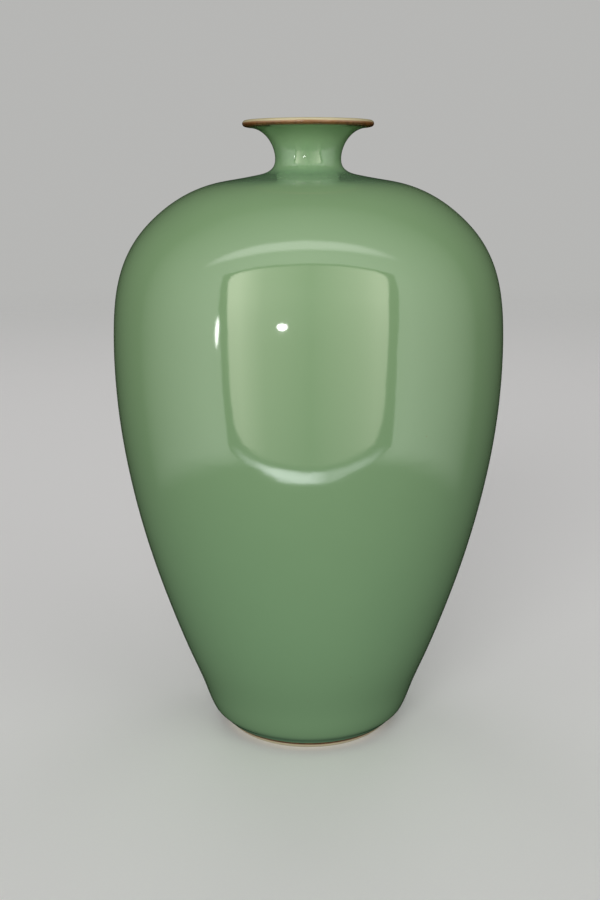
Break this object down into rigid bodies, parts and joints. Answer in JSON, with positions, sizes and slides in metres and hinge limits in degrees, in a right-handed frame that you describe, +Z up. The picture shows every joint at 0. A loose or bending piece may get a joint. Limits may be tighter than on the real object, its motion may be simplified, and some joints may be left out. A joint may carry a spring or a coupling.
{
  "type": "porcelain vase",
  "caption": "Tall celadon-glazed porcelain vase: tapering body, broad rounded shoulder, short narrow neck, flared mouth with an iron-brown edge, inset bare foot ring.",
  "frame": {"origin": "centre of the flat face of the foot ring that the vase stands on", "axes": "+Z up along the vase's axis, towards the mouth; +X and +Y are any two directions square to it, because the vase is round"},
  "size_m": [0.2198, 0.2198, 0.35],
  "materials": {
    "bare_porcelain": "unglazed, fine-grained, faintly toasted",
    "porcelain_body": "vitrified clay body under glaze",
    "luting_slip": "vitrified joining slip",
    "celadon_glaze": "thick glossy celadon glaze without crackle",
    "pale_glaze": "thin glossy pale celadon glaze",
    "iron_brown": "glossy iron-brown edge"
  },
  "bodies": {
    "root": {"foot_ring": "bare_porcelain", "base_disc": "porcelain_body", "lower_body": "porcelain_body", "upper_body": "porcelain_body", "neck_and_mouth": "porcelain_body", "foot_slip_joint": "luting_slip", "waist_slip_joint": "luting_slip", "neck_slip_joint": "luting_slip", "outer_glaze": "celadon_glaze", "inner_glaze": "pale_glaze", "base_glaze": "celadon_glaze", "mouth_rim_band": "iron_brown", "foot_iron_line": "iron_brown"}
  },
  "joints": []
}
